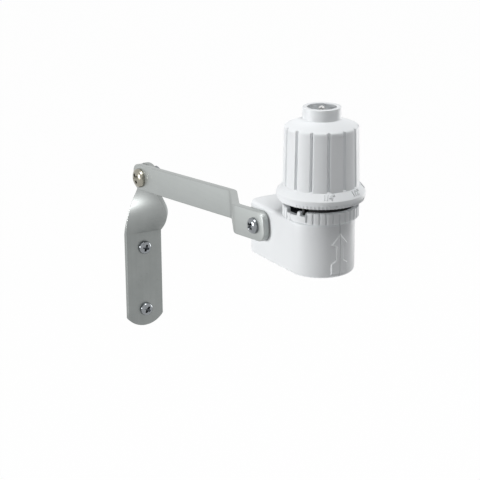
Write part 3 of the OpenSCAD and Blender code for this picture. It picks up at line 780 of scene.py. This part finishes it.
clamp_seat = (facing(CLAMP + Vector((-CASE_R - ARM_T, 0, 0)), (-1, 0, 0))
              @ Matrix.Rotation(CLAMP_TURN, 4, "Z"))
CLAMP_LEN = ARM_T + 2 * CASE_R - CLAMP_POCKET + CLAMP_WASHER_T + CLAMP_NUT_H
clamp = screw_mesh("clamp_bolt", clamp_seat, CLAMP_R, CLAMP_LEN, CLAMP_HEAD_R, CLAMP_HEAD_H,
                   pitch=0.7, plain=18, tip=0.4)
shade_recess(clamp, clamp_seat, CLAMP_HEAD_R, CLAMP_HEAD_H)
finished("clamp_bolt", clamp, zinc, "sensor", "clamp_screw", second=recess_shade)


def nut_mesh(name, place, *, flats, h, bore):
    """Hexagonal nut with both faces chamfered. A radius of -1 stands for the hexagon's."""
    flat_r = flats / 2
    slope = math.tan(math.radians(28))

    def corner(a):
        return flat_r / math.cos((a + TURN / 12) % (TURN / 6) - TURN / 12)

    def shape(r, z, a):
        if r < 0:
            full = corner(a)
            drop = max(0, full - flat_r * 0.97) * slope
            return full, z + (drop if z < h / 2 else -drop)
        return r, z

    profile = [(bore, 0.25), (bore + 0.3, 0), (flat_r * 0.97, 0), (-1, 0), (-1, h),
               (flat_r * 0.97, h), (bore + 0.3, h), (bore, h - 0.25)]
    points, faces = turned(profile, full_turn(96), shape)
    return mesh_of(name, points, faces, place)


pivot_nut = nut_mesh("hinge_nut", facing((BRACKET_T / 2, PIVOT.y, PIVOT.z), (1, 0, 0))
                     @ Matrix.Rotation(NUT_TURN, 4, "Z"),
                     flats=8, h=PIVOT_NUT_H, bore=PIVOT_R)
finished("hinge_nut", pivot_nut, zinc, "mount", "pivot_nut", sharp=20)


# ---------------------------------------------------------------- housing

def rounded_levels(top_r, low_r, height, steps=6):
    """Levels (inset, z) up a wall whose top and bottom edges are rounded."""
    levels = []
    for k in range(steps + 1):
        a = math.pi / 2 * k / steps
        levels.append((low_r * (1 - math.sin(a)), -height + low_r * (1 - math.cos(a))))
    for k in range(steps + 1):
        a = math.pi / 2 * k / steps
        levels.append((top_r * (1 - math.cos(a)), -top_r * (1 - math.sin(a))))
    return levels


def shell_plan(side, inset):
    """Half of the housing's plan, from the seam in front to the seam at the back."""
    r, corner = CASE_R - inset, LOBE_CORNER - inset
    out = [(side * r * math.sin(a), -r * math.cos(a))
           for a in (math.pi / 2 * i / 32 for i in range(33))]
    back = LOBE_LEN - LOBE_CORNER
    out += [(side * r, y) for y in spaced(0, back, 3)[1:-1]]
    out += [(side * (CASE_R - LOBE_CORNER + corner * math.cos(a)), back + corner * math.sin(a))
            for a in (math.pi / 2 * i / 12 for i in range(13))]
    out.append((0, LOBE_LEN - inset))
    return out


SEAM_HALF, SEAM_DEPTH = 0.18, 0.7
CASE_TOP_R, CASE_LOW_R = 1.6, 1.4


def shell_mesh(name, side):
    """One half shell. Its seam edge is eased, which leaves a fine line between the two."""
    rows = []
    for inset, z in rounded_levels(CASE_TOP_R, CASE_LOW_R, CASE_H):
        plan = shell_plan(side, inset)
        front, back = plan[0][1], plan[-1][1]
        rows.append([(0, front + SEAM_DEPTH, z), (side * SEAM_HALF, front, z)]
                    + [(x, y, z) for x, y in plan[1:-1]]
                    + [(side * SEAM_HALF, back, z), (0, back - SEAM_DEPTH, z)])
    points, faces = around(rows, closed=False)
    faces += end_faces(points, len(rows[0]))
    return turned_out(mesh_of(name, points, faces, AT_SENSOR))


NECK_R, NECK_DEPTH = 9.0, 3.0


def necked(shell):
    """A shell with the neck's hole cut in its top."""
    return cut(shell, turned_out(rod(NECK_R, -NECK_DEPTH, 1.0, AT_SENSOR, 64)))


left_shell = necked(shell_mesh("left_shell", -1))
finished("left_shell", left_shell, white_plastic, "sensor", "housing_left", sharp=30)

# The far shell also has the case screws' sinks, over bosses in its corners, and the nut's
# pocket
right_shell = necked(shell_mesh("right_shell", 1))
CASE_WALL, BOSS_WALL, BOSS_SINK, SCREW_GAP = 2, 1.4, 0.3, 0.15
CLAMP_BOSS_R = CLAMP_POCKET_R + BOSS_WALL
CASE_BOSS_R = CASE_HEAD_R + SCREW_GAP + BOSS_WALL / 2
CASE_LOW = CASE_WALL + CASE_BOSS_R - BOSS_SINK
SCREW_PLACES = [(CLAMP_BACK - CLAMP_BOSS_R - CASE_BOSS_R - BOSS_WALL, CASE_LOW - CASE_H),
                (LOBE_LEN - CASE_LOW, CASE_LOW - CASE_H), (LOBE_LEN - CASE_LOW, -CASE_LOW)]
CASE_SINK, CASE_SINK_R = 1.4, CASE_HEAD_R + SCREW_GAP
for y, z in SCREW_PLACES:
    tool = rod(CASE_SINK_R, -CASE_SINK, 1, AT_SENSOR @ facing((CASE_R, y, z), (1, 0, 0)))
    right_shell = cut(right_shell, turned_out(tool))
tool = rod(CLAMP_POCKET_R, -CLAMP_POCKET, 1,
           AT_SENSOR @ facing((CASE_R, CLAMP_BACK, -CLAMP_DROP), (1, 0, 0)))
right_shell = cut(right_shell, turned_out(tool))
finished("right_shell", right_shell, white_plastic, "sensor", "housing_right", sharp=30)

NUT_X = CASE_R - CLAMP_POCKET + CLAMP_WASHER_T
clamp_nut = nut_mesh("clamp_nut_turned",
                     AT_SENSOR @ facing((NUT_X, CLAMP_BACK, -CLAMP_DROP), (1, 0, 0)),
                     flats=6, h=CLAMP_NUT_H, bore=CLAMP_R)
finished("clamp_nut_turned", clamp_nut, zinc, "sensor", "clamp_nut", sharp=20)

case_screw = unit("one_case_screw",
                  screw_mesh("one_case_screw", Matrix.Rotation(math.pi / 2, 4, "Y"),
                             CASE_SCREW_R, CASE_SCREW_LEN, CASE_HEAD_R, CASE_HEAD_H,
                             pitch=0.9, plain=12.6, tip=1.2))
case_places = [SENSOR + Vector((CASE_R - CASE_SINK, y, z)) for y, z in SCREW_PLACES]
case_screws = [fasteners.run(points_mesh([place]), Fastener=case_screw,
                             Turn=(turn, 0, 0), Material=zinc)
               for place, turn in zip(case_places, CASE_TURNS)]
finished("case_screws", joined(*case_screws), zinc, "sensor", "housing_screws")
bpy.data.objects.remove(case_screw)


ARROW_RELIEF, ARROW_SLOPE, ARROW_SEAM = 0.42, 0.40, 0.08


def arrow_mesh(side):
    """Half of the raised arrow, wrapped on the housing's round front, with sloping edges."""
    outline = [(ARROW_SEAM, -4.1), (4.0, -8.8), (1.9, -9.6), (1.9, -15.4), (4.0, -16.8),
               (4.0, -21.3), (ARROW_SEAM, -21.3)]
    rows = []
    count = len(outline)
    for out, inset in ((-0.6, 0), (0.03, 0), (ARROW_RELIEF, ARROW_SLOPE)):
        r = CASE_R + out
        ring = []
        for i in range(count):
            here = Vector(outline[i])
            before = (here - Vector(outline[i - 1])).normalized()
            after = (Vector(outline[(i + 1) % count]) - here).normalized()
            normal_a, normal_b = Vector((-before.y, before.x)), Vector((-after.y, after.x))
            bisector = (normal_a + normal_b).normalized()
            grow = inset / max(bisector.dot(normal_a), 0.45)
            point = here - bisector * grow
            if i in (0, count - 1):
                point.x = here.x
            x = min(max(point.x, 0.02), r)
            ring.append((side * x, -math.sqrt(r * r - x * x), point.y))
        rows.append(ring)
    points, faces = around(rows, closed=False)
    return turned_out(mesh_of("arrow", points, faces + end_faces(points, count), AT_SENSOR))


finished("arrow_halves", joined(arrow_mesh(-1), arrow_mesh(1)), white_plastic, "sensor", sharp=25)


# ---------------------------------------------------------------- vent ring

def within(angle, middle, half):
    """How far an angle lies inside a span round the axis, in degrees."""
    off = (math.degrees(angle) - middle + 180) % 360 - 180
    return half - abs(off)


# Ring sizes in millimetres. The spans (middle, half) of its notches and thumb pad and its
# grooves' pitch, floor and edge are in degrees.
RING_R, RING_H, RING_BORE, RING_LIP_R, RING_FLOOR, RING_LIFT = 15.5, 4.9, 12.45, 14.0, 1.9, 0.1
NOTCH_Z, NOTCH_FLOOR, PAD_LOW, PAD_HIGH = 3.5, 3.4, 0.9, 3.6
NOTCHES, PAD = ((-82, 11.5), (-61, 4.5)), (-70, 14.5)
PAD_RISE, PAD_EASE = 0.35, 0.8
GROOVE, GROOVE_PITCH, GROOVE_FLOOR, GROOVE_EDGE = 0.5, 10, 0.7, 1.75


def ring_shape(r, z, a):
    """Notches the ring's top, sinks its knurl grooves and raises its two thumb pads."""
    notch = max(within(a, middle + turn, half) for middle, half in NOTCHES for turn in (0, 180))
    pad = max(within(a, PAD[0] + turn, PAD[1]) for turn in (0, 180))
    if z > NOTCH_Z and notch > 0:
        z = NOTCH_FLOOR + (z - RING_H) * 0.2
    if r > RING_R - 0.5:
        if pad > 0:
            if PAD_LOW <= z <= PAD_HIGH:
                r += PAD_RISE * smooth_step(pad, 0, PAD_EASE)
            elif z < PAD_LOW:
                r -= GROOVE * smooth_step(pad, 0, PAD_EASE)
        else:
            off = math.degrees(a) % GROOVE_PITCH - GROOVE_PITCH / 2
            r -= GROOVE * (1 - smooth_step(abs(off), GROOVE_FLOOR, GROOVE_EDGE))
    return r, z


ring_angles = [math.radians(k * 0.5) for k in range(720)]
ring_outline = [(RING_BORE, RING_FLOOR), (RING_BORE, RING_LIFT), (RING_R - 0.6, RING_LIFT),
                (RING_R - 0.2, RING_LIFT + 0.02)]
ring_outline += [(RING_R, z) for z in (0.3, 0.85, 0.92, 1.6, 2.6, 3.3, 3.45, 4.2, 4.7)]
ring_outline += [(RING_R - 0.2, RING_H - 0.02), (RING_R - 0.6, RING_H), (RING_LIP_R, RING_H),
                 (RING_LIP_R, RING_FLOOR)]
points, faces = turned(ring_outline, ring_angles, ring_shape)
finished("knurled_ring", mesh_of("knurled_ring", points, faces, AT_SENSOR), white_plastic, "ring",
         "vent_ring", sharp=30)


# ---------------------------------------------------------------- cap

FLUTES, FLUTE_PHASE, FLUTE_DEPTH = 14, math.radians(3), 0.95
CAP_TOP_R, CAP_LOW_R, CAP_BODY_H, WALL_Z = 14.9, 15.5, 30.6, 6.65
FLUTE_FLOOR, FLUTE_HALF = 0.14, 0.80
# Angles from a flute's middle, in degrees, where the cap's outline has points
HALF_OFFSETS = [math.degrees(half / CAP_LOW_R) for half in (FLUTE_FLOOR, FLUTE_HALF)]
HALF_OFFSETS += [4.2, 5.6, 7.4, 9.4, 11.5]
FLUTE_OFFSETS = [-o for o in HALF_OFFSETS] + HALF_OFFSETS


def flute_floor(z):
    share = (z - WALL_Z) / (CAP_BODY_H - WALL_Z)
    return CAP_LOW_R + (CAP_TOP_R - CAP_LOW_R) * share - FLUTE_DEPTH


def cap_shape(r, z, a):
    """Sinks the flutes, which have sloping sides, between the flange and the shoulder."""
    if z < WALL_Z - 0.4 or z > CAP_BODY_H + 0.6 or r < 12.8:
        return r, z
    step = TURN / FLUTES
    off = abs((a - FLUTE_PHASE + step / 2) % step - step / 2) * CAP_LOW_R
    deep = min(max((FLUTE_HALF - off) / (FLUTE_HALF - FLUTE_FLOOR), 0), 1)
    rise = smooth_step(z, WALL_Z + 0.05, WALL_Z + 0.35)
    return r - max(0, r - flute_floor(z)) * deep * rise, z


cap_angles = sorted(FLUTE_PHASE + TURN * i / FLUTES + math.radians(o)
                    for i in range(FLUTES) for o in FLUTE_OFFSETS)
COLLAR_Z, COLLAR_TOP, COLLAR_R, COLLAR_BORE = 33.3, 38.15, 7.75, 5.85
CAP_ROOF, CAP_CEILING, SPINDLE_HOLE, CHAMBER_R, CHAMBER_Z = 29.6, 27.7, 1.42, 11.6, 10.2
BAND_R, BAND_H, FLANGE_R, FLANGE_H = 17.4, 2.2, 18.1, 3.7
outside = eased([(BAND_R, 0, 0.25), (BAND_R, BAND_H, 0), (FLANGE_R, BAND_H, 0.15),
                 (FLANGE_R, FLANGE_H, 0.3), (CAP_LOW_R, 6.55, 0.12), (CAP_LOW_R, 6.7, 0)])
wall_rows = [(CAP_LOW_R + (CAP_TOP_R - CAP_LOW_R) * t, WALL_Z + (CAP_BODY_H - WALL_Z) * t)
             for t in (0.004, 0.010, 0.016, 0.03, 0.08, 0.2, 0.4, 0.6, 0.8, 0.93)]
shoulder = eased([(14.95, 28.6, 0), (14.9, 30.55, 1.1), (13.2, 31.2, 0), (12.2, 31.59, 0),
                  (10, 32.43, 0), (COLLAR_R, COLLAR_Z, 0.5), (COLLAR_R, COLLAR_TOP, 0.35),
                  (COLLAR_BORE, COLLAR_TOP, 0.3), (COLLAR_BORE, CAP_ROOF, 0.2),
                  (SPINDLE_HOLE, CAP_ROOF, 0)], 6)
inside = [(SPINDLE_HOLE, CAP_CEILING), (CHAMBER_R, CAP_CEILING), (CHAMBER_R, CHAMBER_Z),
          (RING_BORE, CHAMBER_Z), (RING_BORE, 0.0)]
cap_outline = outside + wall_rows + shoulder + inside
points, faces = turned(cap_outline, cap_angles, cap_shape)
cap = mesh_of("dial_cap", points, faces, AT_SENSOR @ Matrix.Translation((0, 0, CAP_Z)))
cap = turned_out(cap)
DRIP_R, DRIP_OUT = 1.15, 3.6
for k in range(4):
    a = math.pi / 4 + k * math.pi / 2
    spot = (DRIP_OUT * math.cos(a), DRIP_OUT * math.sin(a), CAP_Z)
    cap = cut(cap, turned_out(rod(DRIP_R, CAP_CEILING - 1.7, CAP_ROOF + 1.4,
                                  AT_SENSOR @ Matrix.Translation(spot), 24)))
finished("dial_cap", cap, white_plastic, "dial", "cap", sharp=30)


MARK_SIZE, MARK_RISE, MARK_EDGE, MARK_BOLD = 3.3, 0.16, 0.05, 0.03


def cone_mark(text, angle):
    """Raised dial mark, wrapped on the flange's cone, reading from in front of it."""
    curve = bpy.data.curves.new("mark", "FONT")
    curve.body, curve.size, curve.offset = text, MARK_SIZE, MARK_BOLD
    curve.align_x, curve.align_y = "CENTER", "CENTER"
    curve.extrude, curve.bevel_depth, curve.resolution_u = MARK_RISE, MARK_EDGE, 4
    o = bpy.data.objects.new("mark", curve)
    bpy.context.scene.collection.objects.link(o)
    graph = bpy.context.evaluated_depsgraph_get()
    mesh = bpy.data.meshes.new_from_object(o.evaluated_get(graph))
    bpy.data.objects.remove(o)
    low, high = Vector((FLANGE_R, FLANGE_H)), Vector((CAP_LOW_R, 6.6))
    up = (high - low).normalized()
    out = Vector((up.y, -up.x))
    middle = (low + high) / 2
    for v in mesh.vertices:
        p = middle + up * v.co.y + out * (v.co.z + 0.06)
        a = angle + v.co.x / middle.x
        local = Vector((p.x * math.sin(a), -p.x * math.cos(a), CAP_Z + p.y))
        v.co = (SENSOR + local) * MM
    return mesh


# The marks' grey is painted shade: they are raised in the cap's own white plastic
marks = [cone_mark(text, math.radians(a))
         for text, a in (('1/4"', -22.5), ('1/2"', 22.5), ('3/4"', 67.5))]
finished("dial_marks", joined(*marks), mark_painted_shade, "dial", sharp=30)

# Small raised graduations on the stepped band under the flange
TICK_FOOT, TICK_TOP = (0.22, -BAND_R + 0.1), (0.17, -BAND_R - 0.2)
TICK_COUNT, TICK_FIRST, TICK_STEP = 28, math.radians(-67.5), math.radians(5)
tick = unit("one_tick", mesh_of(
    "one_tick", [(x, y, CAP_Z + z) for z in (0.55, 1.65) for x, y in (
        (-TICK_FOOT[0], TICK_FOOT[1]), TICK_FOOT, TICK_TOP, (-TICK_TOP[0], TICK_TOP[1]))],
    [(0, 3, 2, 1), (4, 5, 6, 7), (0, 1, 5, 4), (1, 2, 6, 5), (2, 3, 7, 6), (3, 0, 4, 7)]))
ticks = round_copies.run(points_mesh([(0, 0, 0)]), Shape=tick, Count=TICK_COUNT,
                         First=TICK_FIRST, Step=TICK_STEP, Material=white_plastic)
ticks.transform(Matrix.Translation(SENSOR * MM))
finished("dial_ticks", ticks, white_plastic, "dial", sharp=25)
bpy.data.objects.remove(tick)


# ---------------------------------------------------------------- inside pieces

# The return spring, down on the hub's floor, gets a mesh of its own
coil = nodes["return_spring"].data.copy()
coil.transform(nodes["return_spring"].matrix_world)
coil = finished("wound_spring", coil, drawn_wire, "sensor", "return_spring")
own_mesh(coil)

for name, material in (
        ("pivot_washer", zinc), ("clamp_washer", zinc), ("cable_grommet", black_rubber),
        # The vent hub is drawn near-black as painted shade for the deep gap under the ring and
        # its slots
        ("vent_hub", black_plastic_and_hub_shade), ("spindle", plunger_plastic),
        ("disc_carrier", plunger_plastic),
        ("switch_body", black_plastic_and_hub_shade), ("switch_button", red_plastic),
        ("switch_terminals", stamped_brass),
        *((f"disc_{i}", disc_fibre) for i in range(1, 7))):
    nodes[name].data.materials.clear()
    nodes[name].data.materials.append(material)


# ---------------------------------------------------------------- stage

FLOOR_Z, FLOOR_SIDE, FLOOR_WHITE, AMBIENT = -0.16, 4, 0.985, 0.09


def seen_rays(tree):
    """1 on the rays that see the stage: the camera's, and those of reflections and glass."""
    path = tree.nodes.new("ShaderNodeLightPath").outputs
    seen, *others = (Sum(tree, path[f"Is {kind} Ray"], "ShaderNodeMath")
                     for kind in ("Camera", "Glossy", "Transmission"))
    for other in others:
        seen = seen.call("MAXIMUM", other)
    return seen


def pale_floor():
    """Pale floor that looks white to the camera and in reflections, under a soft shadow."""
    f = Finish("pale_floor")
    grain = f.noise((9, 9, 9), 2.0)
    matt = f.node("ShaderNodeBsdfPrincipled",
                  sockets={"Base Color": f.mixed(grain, (0.86, 0.86, 0.86), (0.84, 0.84, 0.84)),
                           "Roughness": 0.9})
    white = f.node("ShaderNodeEmission", sockets={"Color": (1, 1, 1, 1), "Strength": 1.0})
    mix = f.node("ShaderNodeMixShader", sockets={"Fac": seen_rays(f.tree) * FLOOR_WHITE})
    f.tree.links.new(matt.outputs[0], mix.inputs[1])
    f.tree.links.new(white.outputs[0], mix.inputs[2])
    f.tree.links.new(mix.outputs[0], f.end.inputs["Surface"])
    return f.material


floor_mesh = bpy.data.meshes.new("floor")
floor_mesh.from_pydata([(x * FLOOR_SIDE, y * FLOOR_SIDE, FLOOR_Z)
                        for x, y in ((-1, -1), (1, -1), (1, 1), (-1, 1))], [], [(0, 1, 2, 3)])
floor_mesh.materials.append(pale_floor())
floor = bpy.data.objects.new("floor", floor_mesh)
bpy.context.scene.collection.objects.link(floor)

world = bpy.data.worlds.new("studio")
bpy.context.scene.world = world
world.use_nodes = True
tree = world.node_tree
tree.nodes.clear()
sky = tree.nodes.new("ShaderNodeBackground")
sky.inputs["Color"].default_value = (1, 1, 1, 1)
tree.links.new((seen_rays(tree) * (1 - AMBIENT) + AMBIENT).socket, sky.inputs["Strength"])
tree.links.new(sky.outputs[0], tree.nodes.new("ShaderNodeOutputWorld").inputs["Surface"])


def soft_box(name, place, target, size, watts):
    """Square lamp that looks at a target."""
    lamp = bpy.data.lights.new(name, "AREA")
    lamp.shape, lamp.size, lamp.energy = "SQUARE", size, watts
    o = bpy.data.objects.new(name, lamp)
    o.location = place
    o.rotation_mode = "QUATERNION"
    o.rotation_quaternion = (Vector(target) - Vector(place)).to_track_quat("-Z", "Y")
    bpy.context.scene.collection.objects.link(o)


HEAD_MIDDLE = 15
HEAD = tuple((SENSOR + Vector((0, 0, HEAD_MIDDLE))) * MM)
# The key lamp stands level on the left, with a broad lamp above and a weak one on the right
soft_box("key", (-0.92, 0.14, 0.14), HEAD, 0.24, 6.1)
soft_box("top", (0.02, -0.33, 1.07), HEAD, 0.45, 8.2)
soft_box("edge", (0.75, 0.00, -0.02), HEAD, 0.35, 1.9)

# Camera at the photograph's place: fitted to the part's own points
CAM_AZ, CAM_EL, CAM_ROLL = math.radians(-30.819), math.radians(18.325), math.radians(0.304)
CAM_PLACE = (-0.3291, -0.6487, 0.2597)
CAM_LENS = 113.26
back = Vector((math.sin(CAM_AZ) * math.cos(CAM_EL), -math.cos(CAM_AZ) * math.cos(CAM_EL),
               math.sin(CAM_EL)))
right = Vector((math.cos(CAM_AZ), math.sin(CAM_AZ), 0))
up = back.cross(right)
right, up = (right * math.cos(CAM_ROLL) - up * math.sin(CAM_ROLL),
             right * math.sin(CAM_ROLL) + up * math.cos(CAM_ROLL))
lens = bpy.data.cameras.new("camera")
lens.sensor_width, lens.lens = 36, CAM_LENS
lens.clip_start, lens.clip_end = 0.05, 20
camera = bpy.data.objects.new("camera", lens)
bpy.context.scene.collection.objects.link(camera)
camera.matrix_world = Matrix.Translation(CAM_PLACE) @ Matrix(
    (right, up, back)).transposed().to_4x4()
bpy.context.scene.camera = camera
bpy.context.scene.view_settings.view_transform = "Standard"
